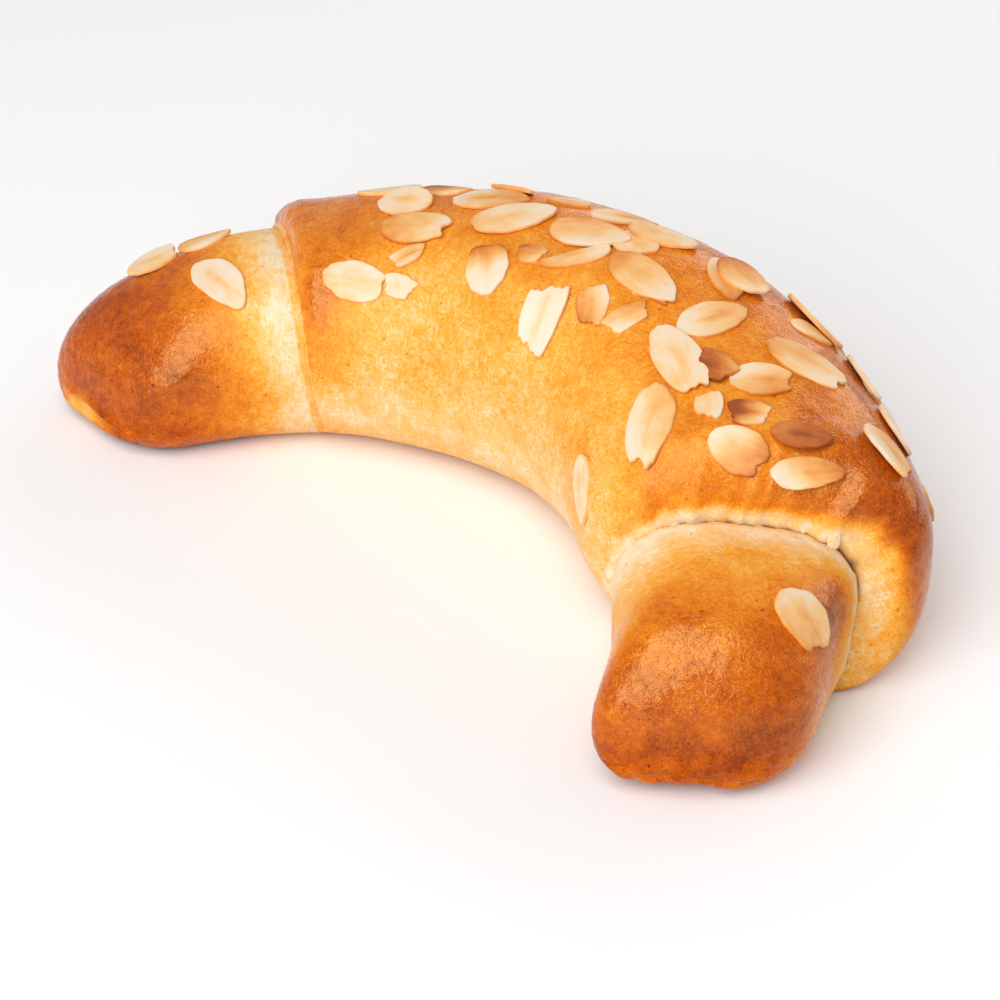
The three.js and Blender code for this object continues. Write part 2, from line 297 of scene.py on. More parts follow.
# %% Half widths and heights along the roll
for end in (LEFT, RIGHT):
    mouth, horn, wrap = end["mouth"], end["horn"], end["wrap"]
    end["horn_sizes"] = [[
        (0, MIDDLE[k] - CORE_LESS),
        (mouth - MOUTH_REST[0], horn[0][k]),
        (mouth + MOUTH_REST[1], horn[0][k]),
        ((mouth + HALF) / 2 + HALFWAY_OUT, horn[1][k]),
        (HALF, horn[2][k])] for k in (0, 1)]
    end["wrap_sizes"] = [[
        (0, MIDDLE[k]),
        (mouth - end["shoulder"], wrap[k]),
        (mouth + end["slant"], wrap[k] - WRAP_THIN[k])] for k in (0, 1)]
print("height of the left horn at its mouth:", round(LEFT["horn"][0][1] / MM, 1), "mm")


# %% A point on the dough
def dough(along, angle, share, extra=0.0):
    """The point at a place along the roll and an angle round it. extra enlarges the section."""
    end, far = end_of(along), abs(along)
    grow = extra + swell(along, angle)
    width, height = [
        lerp(through(horn, far), through(wrap, far) if share > 0 else 0, share) + grow
        for horn, wrap in zip(end["horn_sizes"], end["wrap_sizes"])]

    c, s = on_circle(angle)
    power = TOP_POWER if s >= 0 else FOOT_POWER
    reach = (abs(c) ** power + abs(s) ** power) ** (-1 / power)
    waist = WAIST * height
    z = waist + (height - waist if s >= 0 else waist + PRESSED) * s * reach
    if z < -FOOT_SOFT:
        z = 0.0
    elif z < FOOT_SOFT:
        z = (z + FOOT_SOFT) ** 2 / (4 * FOOT_SOFT)

    closing = clamp((far - HALF + end["tip_round"]) / end["tip_round"])
    narrowing = clamp((far - HALF + end["plan_round"]) / end["plan_round"])
    plan = (1 - narrowing ** end["tip_plan"]) ** (1 / end["tip_plan"])
    top = (1 - closing ** end["tip_top"]) ** (1 / end["tip_top"])
    out = clamp((far - end["mouth"]) / (HALF - end["mouth"]))
    under = clamp(far / end["mouth"])
    lateral = width * c * reach * plan
    across = (lateral + end["tip_shift"] * out ** 2 + end["horn_bow"] * math.sin(math.pi * out)
              + share * end["wrap_shift"] * under ** 2
              + end["wrap_bow"] * math.sin(math.pi * under) * (1 + c) / 2)
    z = lerp(TIP_HEIGHT * end["horn"][2][1], z, top)
    x, y, heading = middle_line(along + end["side"] * end["tip_slant"] * lateral * out)
    return Vector((x - math.sin(heading) * across, y + math.cos(heading) * across, z)) - ORIGIN


def crust(along, angle):
    """The surface as seen from outside: horn, rounded shoulder or wrap."""
    end = end_of(along)
    before = edge(end, angle) - abs(along)
    if before <= 0:
        return dough(along, angle, 0)
    rise = math.sqrt(1 - clamp(1 - before / end["shoulder"]) ** 2)
    return dough(along, angle, lerp(lip(end, angle), 1, rise))


print("height at the middle:", round(crust(0, 90).z / MM, 1), "mm")

# %% [markdown]
# ## Rows of the mesh
# A sphere is the simplest closed mesh: its two poles become the two tips of the roll, and each of
# its rings becomes one ring round the dough. The rings are spaced by what they have to show: wide
# apart over the middle, close together over the shoulder, the crease and the ends.
# The crease gapes in some places and is shut in others, so its rings open by a share that varies.

# %% How far the crease gapes
# The crease opens above the base: sine of the angle where it begins, and over how much of it
OPENING = (-0.75, 0.5)
# Angle round the roll, and how far it gapes there
GAPE = {
    -1: [(-50, 0.05), (60, 0.08), (150, 0.04), (205, 0.1), (230, 0.15)],
    1: [(-50, 0.08), (8, 0.1), (20, 0.5), (31, 1.0), (42, 0.7), (49, 0.32), (60, 0.26), (75, 0.26),
        (95, 0.25), (120, 0.19), (135, 0.14), (165, 0.1), (230, 0.1)]}
LEAST_GAPE = 0.03
GAPE_RAGGED = 0.9
GAPE_WAVES = 13


def gape(end, angle):
    """0 is shut, 1 is open by nearly a millimetre."""
    c, s = on_circle(angle)
    uneven = 1 + GAPE_RAGGED * noise.noise(Vector((c, s, 3 * end["side"])) * GAPE_WAVES)
    opening = ramp((s - OPENING[0]) / OPENING[1])
    return max(LEAST_GAPE, through(GAPE[end["side"]], turned(angle)) * uneven) * opening


print("widest gape, on the right:", round(max(gape(RIGHT, a) for a in range(360)), 2))

# %% Rings along the roll
AROUND = 232
WRAP_RINGS = 184
SHOULDER_RINGS = 16
HORN_RINGS = 46
TIP_RINGS = 44
CREASE_DEPTH = 1.3 * MM
# Rings of the crease: how far back under the lip in mm, share of the lip's height, and of the depth
CREASE = [
    (0, 0.85, 0), (0, 0.65, 0), (0.05, 0.42, 0), (0.1, 0.25, 0), (0.35, 0.1, 0.25), (1.3, 0, 0.9),
    (1.5, 0, 1.6), (0.8, 0, 1.6), (0, 0, 0.9), (-0.45, 0, 0.35), (-0.75, 0, 0.04)]
SHUT_STEP = 0.07 * MM
HORN_START = 1.9 * MM


def end_rings(end):
    """Functions of the angle that give (along, share, extra), from the wrap out to the tip."""
    shoulder, crease, horn = [], [], []
    for i in range(1, SHOULDER_RINGS + 1):
        turn = i / SHOULDER_RINGS * math.pi / 2
        shoulder.append(lambda a, turn=turn: (
            edge(end, a) - end["shoulder"] * (1 - math.sin(turn)),
            lerp(lip(end, a), 1, math.cos(turn)),
            0))
    for i, (back, share, depth) in enumerate(CREASE):
        crease.append(lambda a, i=i, back=back, share=share, depth=depth: (
            edge(end, a) - back * gape(end, a) * MM + (i + 1) * SHUT_STEP,
            share * lip(end, a),
            -CREASE_DEPTH * depth * gape(end, a)))
    bend_from = HALF - end["tip_round"]
    for i in range(HORN_RINGS):
        horn.append(lambda a, out=i / HORN_RINGS: (
            lerp(edge(end, a) + HORN_START, bend_from, out), 0, 0))
    for i in range(TIP_RINGS + 1):
        round_off = math.sin(i / TIP_RINGS * math.pi / 2) ** (2 / end["tip_top"])
        horn.append(lambda a, far=bend_from + end["tip_round"] * round_off: (far, 0, 0))
    return shoulder, crease, horn


def wrap_ring(share):
    """A ring over the middle, between the two shoulders."""
    def ring(a):
        right = edge(RIGHT, a) - RIGHT["shoulder"]
        left = LEFT["shoulder"] - edge(LEFT, a)
        return lerp(right, left, share), 1, 0
    return ring


def signed(ring, side):
    def on_side(a):
        far, share, extra = ring(a)
        return side * far, share, extra
    return on_side


right_parts, left_parts = end_rings(RIGHT), end_rings(LEFT)
wrap = [wrap_ring(i / WRAP_RINGS) for i in range(WRAP_RINGS + 1)]
rings = [signed(ring, 1) for part in reversed(right_parts) for ring in reversed(part)]
rings += wrap
rings += [signed(ring, -1) for part in left_parts for ring in part]
# The rings where the horns begin and where the two lips end, counted from the right tip
LIP_END = 3
horn_rings = len(right_parts[2])
inner_ring = horn_rings + len(CREASE) - 1 - LIP_END
MARKS = [horn_rings - 1, inner_ring, len(rings) - 1 - inner_ring, len(rings) - horn_rings]
print(len(rings), "rings of", AROUND, "points, marks at", MARKS)


# %% Columns of points, measured with a tape
def tape(points):
    """How far over the surface each point lies from the wrap's edge, negative on a horn."""
    run = [0.0]
    for a, b in zip(points, points[1:]):
        run.append(run[-1] + (b - a).length)
    right_horn, right_lip, left_lip, left_horn = [run[i] for i in MARKS]
    distances = []
    for at in run:
        if at <= right_horn:
            distances.append(at - right_horn)
        elif at >= left_horn:
            distances.append(left_horn - at)
        else:
            distances.append(max(0, min(at - right_lip, left_lip - at)))
    return distances


def measure_column(angle):
    """For every ring: point, place along the roll, share, depth and distance from the edge."""
    places = [ring(angle) for ring in rings]
    points = [dough(along, angle, share, extra) for along, share, extra in places]
    distances = tape(points)
    return [(point, *place, away) for point, place, away in zip(points, places, distances)]


columns = [measure_column(360 * i / AROUND) for i in range(AROUND)]
over_the_top = max(row[4] for row in columns[AROUND // 4]) * 2
print("over the top from lip to lip:", round(over_the_top / MM), "mm")

# %% [markdown]
# ## How brown the crust is
# Dough goes from cream through gold and orange to brown as it bakes. One number for each point,
# from 0 to 1, says how far it got: dark on the horns and the right shoulder, gold on the inner side,
# cream where the wrap's edge kept the heat off. Painting by hand would do; rules can be read.

# %% Browning
# Angle round the roll, and how brown the wrap is there
WRAP_BAKE = [
    (-90, 0.6), (-50, 0.5), (-15, 0.62), (15, 0.74), (40, 0.74), (65, 0.64), (90, 0.55), (112, 0.5),
    (134, 0.42), (152, 0.36), (175, 0.28), (205, 0.14), (235, 0.25), (270, 0.6)]
# Distance out from the wrap's edge in mm, and how brown the horn is there
HORN_BAKE = {
    -1: [(0, 0.03), (3.5, 0.06), (6, 0.14), (8, 0.27), (12, 0.44), (17, 0.58), (24, 0.71),
         (33, 0.79), (50, 0.82)],
    1: [(0, 0), (2, 0.04), (5, 0.12), (8, 0.24), (12, 0.39), (17, 0.51), (26, 0.63), (34, 0.72),
        (44, 0.79)]}
# Angle round the roll, and how far back from its edge the wrap stays pale, in mm
PALE_REACH = {
    -1: [(-50, 2), (100, 0.8), (150, 1.3), (180, 2.5), (230, 5)],
    1: [(-50, 14), (-5, 14), (12, 12.5), (28, 12), (48, 8.5), (62, 4.8), (95, 3.8), (130, 3.3),
        (160, 3.6), (230, 6)]}
# Angle round the roll, and how brown the rim itself is
RIM_LEVEL = {
    -1: [(-50, 0.22), (230, 0.22)],
    1: [(-50, 0.3), (-5, 0.3), (12, 0.24), (35, 0.16), (60, 0.1), (95, 0.07), (150, 0.05),
        (230, 0.1)]}
RIM_SHARE = 0.15
EDGE_UNEVEN = 1.2 * MM
EDGE_UNEVEN_SIZE = 3.2 * MM
EDGE_EVEN = 2 * MM
# Centre along the roll in mm and round it in degrees, reach in the same, how much browner
PATCHES = [
    (-60, 138, 4, 20, 0.3), (-58, 108, 7, 16, 0.1), (67, 100, 7, 45, 0.08), (66, 42, 9, 16, 0.04),
    (-30, 142, 15, 20, -0.1), (60, 172, 14, 18, -0.04), (14, 112, 14, 12, -0.06),
    (-57, 172, 9, 16, 0.14), (-54, 138, 4, 10, 0.16), (-92, 160, 16, 24, 0.1),
    (-73, 186, 5, 12, 0.14), (84, 32, 11, 22, 0.48), (106, 30, 14, 28, 0.1),
    (100, 150, 14, 25, -0.06), (86, 150, 12, 25, -0.1), (79, 88, 3, 9, 0.22),
    (-80, 70, 8, 14, 0.04), (-74, 96, 3, 12, 0.1), (63, 130, 4, 8, 0.12), (58, 68, 8, 12, 0.05),
    (-32, 112, 8, 12, -0.05), (20, 122, 12, 10, -0.06), (-54, 160, 6, 12, 0.06),
    (54, 92, 8, 10, -0.05), (107, 69, 5, 14, -0.05), (30, 205, 14, 16, -0.07)]
# Over how many mm out from the edge the patches fade in on a horn
PATCH_START = 6
# On the ends of the horns: x, y, z, reach, all in mm, and how much browner
TIP_PATCHES = [
    (-85, -41, 5.0, 3.2, -0.5), (-79.5, -42.5, 5.2, 3.2, -0.48), (-74.5, -42.5, 4.6, 2.5, -0.2),
    (74, -48, 3.4, 3.5, -0.14), (75, -47, 9, 4, 0.1), (69, -49.5, 4, 2.5, 0.15)]
PATCH_END = 3
BROWN_FOOT = 2.2 * MM
FOOT_BROWNER = 0.3


def patch(along, angle, patches):
    browner = 0
    for at_along, at_angle, reach_along, reach_angle, amount in patches:
        away = ((along / MM - at_along) / reach_along) ** 2
        away += ((angle - at_angle) / reach_angle) ** 2
        browner += amount * math.exp(-away)
    return browner


def browning(point, along, angle, from_edge):
    side = end_of(along)["side"]
    a = (angle + 90) % 360 - 90
    patches = patch(along, a, PATCHES)
    calm = ramp(abs(from_edge) / EDGE_EVEN)
    from_edge += EDGE_UNEVEN * noise.noise(point / EDGE_UNEVEN_SIZE) * calm
    if from_edge >= 0:
        reach = through(PALE_REACH[side], turned(angle))
        baked = ramp((from_edge / MM / reach - RIM_SHARE) / (1 - RIM_SHARE))
        rim_level = through(RIM_LEVEL[side], turned(angle))
        level = lerp(rim_level, through(WRAP_BAKE, a) + patches, baked)
    else:
        out = -from_edge / MM
        level = through(HORN_BAKE[side], out) + patches * ramp(out / PATCH_START)
    for x, y, z, reach, amount in TIP_PATCHES:
        away = (point / MM - Vector((x, y, z))).length / reach
        level += amount * math.exp(-away * away) if away < PATCH_END else 0
    foot = 1 - clamp(point.z / BROWN_FOOT)
    return clamp(level + FOOT_BROWNER * foot)


print("browning on top of the middle:", round(browning(crust(0, 90), 0, 90, 50 * MM), 2))

# %% [markdown]
# ## Relief in the crust
# Close up the crust isn't smooth. It has soft dents, the egg wash wrinkled where it browned, and
# each horn ends in the fold where the sheet's own end was rolled in. The right one is also crumpled
# low down. These are moves of the points along their normals. What is finer than the mesh comes
# later, as bump in the material.

# %% Relief
# The fold across each end, from its outer side to its inner side: x, y, z in mm
FOLDS = {
    -1: [(-89, -39.5, 7.3), (-86.3, -40.5, 7.9), (-78.4, -42.8, 8.7), (-73.2, -42.9, 7.3),
         (-67, -41.8, 5.2)],
    1: [(71, -48.8, 6.2), (74.5, -47.5, 6.0), (79.1, -45.7, 7.5), (85, -42.3, 6.8)]}
FOLDS_FROM = HALF - 9 * MM
FOLD_DEPTH = 0.8 * MM
FOLD_WIDTH = 0.8 * MM
FOLD_FADE = 2 * MM
FOLD_START = 6 * MM
FOLD_PUFF = 0.6
# The small folds low on the end of the right horn
CRUMPLE = 0.36 * MM
CRUMPLE_LONG = 6.5 * MM
CRUMPLE_HIGH = 2.2 * MM
CRUMPLE_FROM = HALF - 3 * MM
CRUMPLE_TOP = 12 * MM
CRUMPLE_FADE = (2 * MM, 4 * MM)
CRUMPLE_RIDGE = 0.6
CRUMPLE_SHARP = 3
DENT = 0.25 * MM
DENT_SIZE = 11 * MM
WRINKLE = 0.11 * MM
WRINKLE_SIZE = 2.0 * MM
WRINKLE_FROM = 0.35
WRINKLE_OVER = 0.4
# Soft lumps beside the wrap's edge, on the pale crust
FLUFF = 0.24 * MM
FLUFF_SIZE = 2.4 * MM
FLUFF_REACH = 5 * MM
FLUFF_BELOW = 0.4
FLUFF_OVER = 0.3
BASE_CLEAR = 2 * MM


def above_fold(point, side):
    """How far a point lies above the fold, how far past its nearer end, and how far along it."""
    corners = [Vector(corner) * MM for corner in FOLDS[side]]
    best, run = None, 0
    for a, b in zip(corners, corners[1:]):
        span = (b - a).xy.length
        share = (point - a).xy.dot((b - a).xy) / span ** 2
        past = max(0, -share, share - 1) * span
        if best is None or past < best[1]:
            best = (point.z - a.lerp(b, clamp(share)).z, past, run + clamp(share) * span)
        run += span
    return best


def fold_relief(point, along):
    """The fold across a horn's end: a valley with a puffed rim below it."""
    if abs(along) <= FOLDS_FROM:
        return 0
    above, past, run = above_fold(point, end_of(along)["side"])
    valley = math.exp(-(above / FOLD_WIDTH) ** 2)
    puff = math.exp(-((above + 3 * FOLD_WIDTH) / (2 * FOLD_WIDTH)) ** 2)
    depth = FOLD_DEPTH * (FOLD_PUFF * puff - valley)
    return depth * math.exp(-(past / FOLD_FADE) ** 2) * ramp(run / FOLD_START)


def crumple_relief(point, along):
    in_folds = Vector((point.x / CRUMPLE_LONG, point.y / CRUMPLE_LONG, point.z / CRUMPLE_HIGH))
    outward, upward = CRUMPLE_FADE
    low_on_end = ramp((along - CRUMPLE_FROM) / outward) * ramp((CRUMPLE_TOP - point.z) / upward)
    return CRUMPLE * (CRUMPLE_RIDGE - CRUMPLE_SHARP * abs(noise.noise(in_folds))) * low_on_end


def relief(point, along, from_edge, level):
    dent = DENT * noise.noise(point / DENT_SIZE)
    wander = noise.noise_vector(point / (3 * WRINKLE_SIZE)) * WRINKLE_SIZE
    ridge = 1 - 2 * abs(noise.noise((point + wander) / WRINKLE_SIZE))
    wrinkle = WRINKLE * ramp((level - WRINKLE_FROM) / WRINKLE_OVER) * ridge
    beside_edge = math.exp(-(from_edge / FLUFF_REACH) ** 2)
    beside_edge *= ramp((FLUFF_BELOW - level) / FLUFF_OVER)
    fluff = FLUFF * noise.noise(point / FLUFF_SIZE) * beside_edge
    fold, crumple = fold_relief(point, along), crumple_relief(point, along)
    return (dent + wrinkle + fluff + fold + crumple) * ramp(point.z / BASE_CLEAR)


print("folds", FOLD_DEPTH / MM, "mm deep cross the ends of the horns")

# %% The crust as a mesh
# How the painted shade deep in the crease grows with its depth
CREASE_SHADE_FROM = 0.3
CREASE_SHADE_SHARP = 2.6


def to_object(bm, name):
    mesh = bpy.data.meshes.new(name)
    bm.to_mesh(mesh)
    bm.free()
    piece = bpy.data.objects.new(name, mesh)
    bpy.context.scene.collection.objects.link(piece)
    for face in mesh.polygons:
        face.use_smooth = True
    return piece


def inside(point):
    """The point, moved by up to a tenth of a millimetre to stay within the solid model's box."""
    return Vector([clamp(v, low, high) for v, low, high in zip(point, *cad_box)])


def make_crust():
    bm = bmesh.new()
    bmesh.ops.create_uvsphere(bm, u_segments=AROUND, v_segments=len(rings) - 1, radius=1)
    bake = bm.verts.layers.float.new("bake")
    crease_shade = bm.verts.layers.float.new("crease_shade")
    place = bm.verts.layers.float_vector.new("place")
    for vert in bm.verts:
        ring = round(math.acos(clamp(vert.co.z, -1, 1)) / math.pi * (len(rings) - 1))
        turn = math.atan2(vert.co.y, vert.co.x) / (2 * math.pi) * AROUND
        column = 0 if ring in (0, len(rings) - 1) else round(turn) % AROUND
        angle = 360 * column / AROUND
        point, along, share, extra, from_edge = columns[column][ring]
        vert.co = point
        vert[bake] = browning(point, along, angle, from_edge)
        # Deeper in the crease the colour turns dark brown: painted shade, which also keeps the relief
        # off there
        vert[crease_shade] = ramp(-CREASE_SHADE_SHARP * extra / CREASE_DEPTH - CREASE_SHADE_FROM)
        vert[place] = (along, math.radians(angle), from_edge)
    bmesh.ops.recalc_face_normals(bm, faces=bm.faces)
    bm.normal_update()
    moves = []
    for vert in bm.verts:
        out = relief(vert.co, vert[place].x, vert[place].z, vert[bake])
        moves.append(vert.normal * out * (1 - vert[crease_shade]))
    for vert, move in zip(bm.verts, moves):
        vert.co = inside(vert.co + move)
    return to_object(bm, "crust")


roll = make_crust()
roll_size = [round(v / MM, 1) for v in roll.dimensions]
print("crust:", len(roll.data.polygons), "faces,", roll_size, "mm")

# %% [markdown]
# ## A map of the surface
# The dough stretched round the roll as it rose, and left fine pale streaks that run the same way.
# A pattern in Object coordinates can't bend with the roll, so the mesh gets a UV map of its own:
# one direction is the distance along the roll, the other the distance round it.

# %% UV map along and round the roll
GIRTH_RADIUS = 23 * MM


def map_surface(piece):
    layer = piece.data.uv_layers.new(name="roll")
    place = piece.data.attributes["place"].data
    for face in piece.data.polygons:
        turns = [place[piece.data.loops[i].vertex_index].vector[1] for i in face.loop_indices]
        across_seam = max(turns) - min(turns) > math.pi
        for i, turn in zip(face.loop_indices, turns):
            along = place[piece.data.loops[i].vertex_index].vector[0]
            turn += 2 * math.pi if across_seam and turn < math.pi else 0
            layer.data[i].uv = (along, turn * GIRTH_RADIUS)


map_surface(roll)
print("UV map:", roll.data.uv_layers[0].name)

# %% [markdown]
# ## Torn dough in the crease
# At the right of the crease the rising dough tore, and a few shreds still reach from the lip down to
# the horn. Each is a small closed lump, bent like a bridge and thinner in the middle. They could be
# part of the crust's own mesh, but as lumps sunk into it they can cross its open crease.

# %% Torn shreds
# Angle on the lip, height on the lip's face, angle on the horn, distance out on the horn,
# width and thickness, the last three in mm
SHREDS = [(56, 1.0, 49, 1.3, 3.2, 0.9), (66, 0.5, 63, 0.5, 2.0, 0.7)]
SHRED_OUT = 0.35 * MM
SHRED_WAVE = 1.3 * MM
SHRED_ROUGH = 0.2 * MM
# How far under the lip a shred begins, and a step back that shows which way the horn runs
SHRED_ROOT = 1.3 * MM
HORN_BACK = 9 * MM
# The ends run past by a twentieth of the length, to sink into the crust
SHRED_REACH = 0.55
SHRED_WAIST = 0.75
SHRED_FLARE = 0.5
SHRED_SEGMENTS = 24


def make_shreds():
    bm = bmesh.new()
    for lip_angle, up_lip, horn_angle, out, wide, thick in SHREDS:
        root = edge(RIGHT, lip_angle) - SHRED_ROOT
        start = dough(root, lip_angle, lip(RIGHT, lip_angle) * up_lip)
        stop = dough(edge(RIGHT, horn_angle) + out * MM, horn_angle, 0)
        ahead = (stop - start).normalized()
        outward = (stop - dough(edge(RIGHT, horn_angle) - HORN_BACK, horn_angle, 0)).normalized()
        across = ahead.cross(outward).normalized()
        outward = across.cross(ahead)
        made = bmesh.ops.create_uvsphere(
            bm, u_segments=SHRED_SEGMENTS, v_segments=SHRED_SEGMENTS, radius=1)
        for vert in made["verts"]:
            x, y, z = vert.co
            girth = SHRED_WAIST + SHRED_FLARE * z * z
            centre = start.lerp(stop, 0.5 + SHRED_REACH * z) + outward * SHRED_OUT * (1 - z * z)
            vert.co = centre + (across * x * wide + outward * y * thick) / 2 * girth * MM
            vert.co += noise.noise_vector(vert.co / SHRED_WAVE) * SHRED_ROUGH
    bmesh.ops.recalc_face_normals(bm, faces=bm.faces)
    return to_object(bm, "torn_shreds")


shreds = make_shreds()
print("torn shreds:", len(SHREDS))

# %% [markdown]
# ## Flaked almonds
# A flake is an almond sliced lengthwise, about a millimetre thick, and many break in the bag.
# Every flake starts as a sphere pressed into a thin disc. Its outline is an oval with one end
# narrower, cut straight or ragged where it broke, and it bends partly with the crust below it.

# %% Flakes and where they lie
# Along the roll in mm, angle round it, turn of its long axis, length in mm, width as a share,
# shape, tilt, how far it lies over another in mm, how toasted
FLAKES = [
    (-90.5, 57, 8, 13, 0.56, "broken", 14, 0, 0.15),
    (-81.5, 58, 8, 12, 0.5, "whole", 8, 0, 0.35),
    (-82.5, 104, -70, 17.5, 0.5, "whole", 0, 0, 0.09),
    (-50, 131, -18, 15.5, 0.54, "broken", 0, 0, 0.16),
    (-38.5, 134, -15, 11, 0.45, "piece", 0, 0, 0.12),
    (-43, 83, -12, 12.5, 0.72, "whole", 10, 0, 0.12),
    (-38, 104, -5, 17.5, 0.54, "broken", 0, 0.5, 0.34),
    (-38, 120, 26, 11, 0.38, "piece", 0, 0, 0.3),
    (-48, 61, -5, 14.5, 0.5, "whole", 0, 0, 0.08),
    (-37, 67, 3, 11.5, 0.55, "whole", 0, 0, 0.6),
    (-26.5, 78, 4, 17, 0.55, "whole", 0, 0, 0.34),
    (-18.5, 93, 31, 17.5, 0.58, "whole", 0, 0.4, 0.18),
    (-24, 68, -20, 11.5, 0.55, "half", -16, 0, 0.34),
    (-16.5, 122, 121, 14, 0.64, "broken", 0, 0, 0.16),
    (-7.5, 112, 13, 9, 0.55, "piece", 0, 0, 0.5),
    (6.5, 134, -75, 21, 0.4, "piece", 0, 0, 0.0),
    (1.4, 104.5, 235, 14, 0.5, "half", 0, 0, 0.26),
    (-1, 90, 18, 17, 0.58, "whole", 0, 0.5, 0.3),
    (8, 84, -15, 11.5, 0.75, "broken", 0, 0, 0.2),
    (9, 72, 12, 15, 0.58, "whole", 0, 0.5, 0.25),
    (-1, 68, 35, 14, 0.45, "whole", 0, 0, 0.3),
    (-12, 71, 12, 9.5, 0.4, "whole", 0, 0, 0.3),
    (17, 97, 1, 18, 0.49, "whole", 0, 0.4, 0.34),
    (22.5, 102, 25, 7.5, 0.35, "half", 0, 0, 0.4),
    (15.5, 119, -45, 13.5, 0.48, "piece", 0, 0, 0.42),
    (24, 113, 85, 14, 0.4, "piece", 0, 0, 0.36),
    (24, 71, -23, 13.5, 0.5, "whole", 0, 0, 0.34),
    (25, 66, 16, 11.8, 0.7, "whole", 5, 0.8, 0.45),
    (32.5, 88, 94, 15.5, 0.54, "whole", 0, 0, 0.25),
    (41, 108, -1, 19.5, 0.48, "broken", 0, 0.5, 0.16),
    (44.5, 98, 35, 11.5, 0.62, "piece", 0, 0.6, 0.78),
    (49, 84, 79, 13, 0.66, "broken", 0, 0, 0.34),
    (45.5, 64, 42, 18.5, 0.5, "broken", 0, 0, 0.28),
    (36.5, 52, 58, 9, 0.5, "whole", 0, 0, 0.36),
    (32.5, 44, 13, 15.5, 0.5, "whole", -9, 0, 0.2),
    (53.5, 106, -16, 9.5, 0.58, "piece", 0, 0, 0.2),
    (57, 94, 74, 11, 0.6, "piece", 0, 0, 0.57),
    (54, 127, -31, 19.5, 0.48, "broken", 0, 0, 0.19),
    (64, 99, 57, 13.5, 0.62, "broken", 0, 0, 0.42),
    (62.5, 79, 81, 11.5, 0.56, "whole", -14, 0, 0.82),
    (67.3, 75.5, 101, 13.8, 0.45, "whole", -16, 0, 0.42),
    (63, 48, 40, 14, 0.5, "broken", -10, 0, 0.26),
    (43.5, 37, 9, 12, 0.5, "whole", -8, 0, 0.02),
    (54.5, 36, 9, 13, 0.5, "whole", -6, 0, 0.02),
    (94.5, 47.5, 56, 15.5, 0.62, "broken", 0, 0, 0.3),
    (51.5, 165, -50, 12.5, 0.5, "whole", 0, 0, 0.16),
]
# Flakes that are browner to one side, by their place in the list: the side's direction in plan,
# counted from +X, and how much browner
BROWN_SIDES = {
    2: (300, 0.7), 12: (222, 0.5), 13: (132, 6), 27: (150, 0.8), 30: (222, 0.4), 32: (180, 0.9),
    36: (200, 1.4), 37: (60, 1.4), 38: (-20, 1.2), 39: (20, 0.15), 40: (60, 0.9), 44: (-60, 0.5)}
EVEN_BROWN = 0.8
# The back isn't seen in the photo, so its flakes lie in a loose row
BACK_FLAKES = 10
BACK_START, BACK_STEP, BACK_LOOSE = -66, 13.5, 7
BACK_ANGLE, BACK_ANGLES = 5, 22
BACK_LENGTHS = (13, 17)
BACK_SHARE = 0.54
BACK_TOAST = 0.2
GOLDEN = (math.sqrt(5) - 1) / 2


def chance(seed):
    """A number from 0 to 1 that looks random but is the same each time."""
    return (seed * GOLDEN) % 1


for i in range(BACK_FLAKES):
    a, b, c, d = [chance(i * k + k) for k in (4, 7, 10, 17)]
    place = (BACK_START + BACK_STEP * i + BACK_LOOSE * a, BACK_ANGLE + BACK_ANGLES * b, 180 * c)
    size = (lerp(*BACK_LENGTHS, d), BACK_SHARE)
    FLAKES.append((*place, *size, "whole", 0, 0, BACK_TOAST + BACK_TOAST * d))
print(len(FLAKES), "flakes")

# %% Outline of a flake
# All as shares of half the length or half the width
FLAKE_TAPER = 0.14
FLAKE_FULL = 0.2
BROKEN_END = 0.72
# Height of the waves in a broken end, fewest of them, how many more at most
BROKEN_WAVE = (0.06, 4, 3)
PIECE_ENDS = (-0.62, 0.6)
PIECE_SLANT = (-0.15, 0.2)
HALF_SPLIT = -0.25
# Chips all round and crumbles on the broken ends: height, and how many across
CHIP = 0.06
CHIP_WAVES = 3
CRUMBLE = 0.08
CRUMBLE_WAVES = 4.5
CHIP_STEP = 3.1
CRUMBLE_STEP = 5.3


def outline(turn, shape, seed):
    """A point of the outline, along and across the flake, each from -1 to 1."""
    along = math.cos(turn)
    sine = math.sin(turn)
    across = sine * abs(sine) ** FLAKE_FULL * (1 - FLAKE_TAPER * along)
    chip = CHIP * noise.noise(Vector((across * CHIP_WAVES, along * CHIP_WAVES, seed * CHIP_STEP)))
    ragged = CRUMBLE * noise.noise(Vector((across * CRUMBLE_WAVES, along, seed * CRUMBLE_STEP)))
    if shape == "broken":
        high, waves, more = BROKEN_WAVE
        wave = high * math.sin((waves + more * chance(seed)) * across + seed)
        along = min(along, BROKEN_END + wave + ragged)
    if shape == "piece":
        near, far = [at + slant * across + ragged for at, slant in zip(PIECE_ENDS, PIECE_SLANT)]
        along = clamp(along, near, far)
    if shape == "half":
        across = max(across, HALF_SPLIT + chip)
    return along * (1 + chip), across * (1 + chip)


print("widest point of a whole flake:", [round(v, 2) for v in outline(math.pi / 2, "whole", 0)])

# %% Laying a flake on the crust
FLAKE_THICK = 0.95 * MM
FLAKE_RISE = 0.62 * MM
# 1 follows the crust, 0 stays flat; tilted flakes follow it less
FLAKE_BEND = 0.7
RAISED_BEND = 0.35
FLAKE_WARP = 0.2 * MM
WARP_TURN = 2.4
FLAKE_SEGMENTS = 56
# Share of the outline, and level from 1 on the upper face to -1 on the lower one
PROFILE = [
    (0, 1), (0.3, 1), (0.55, 1), (0.76, 1), (0.9, 1), (0.965, 0.97), (0.99, 0.84), (1, 0.5),
    (1, -0.4), (0.98, -0.85), (0.8, -1), (0.4, -1), (0, -1)]
# The brown heart: how much browner, and its reach along and across the flake
HEART = 0.3
HEART_REACH = (0.5, 0.25)
GRAIN_STEPS = (0.05, 0.02)


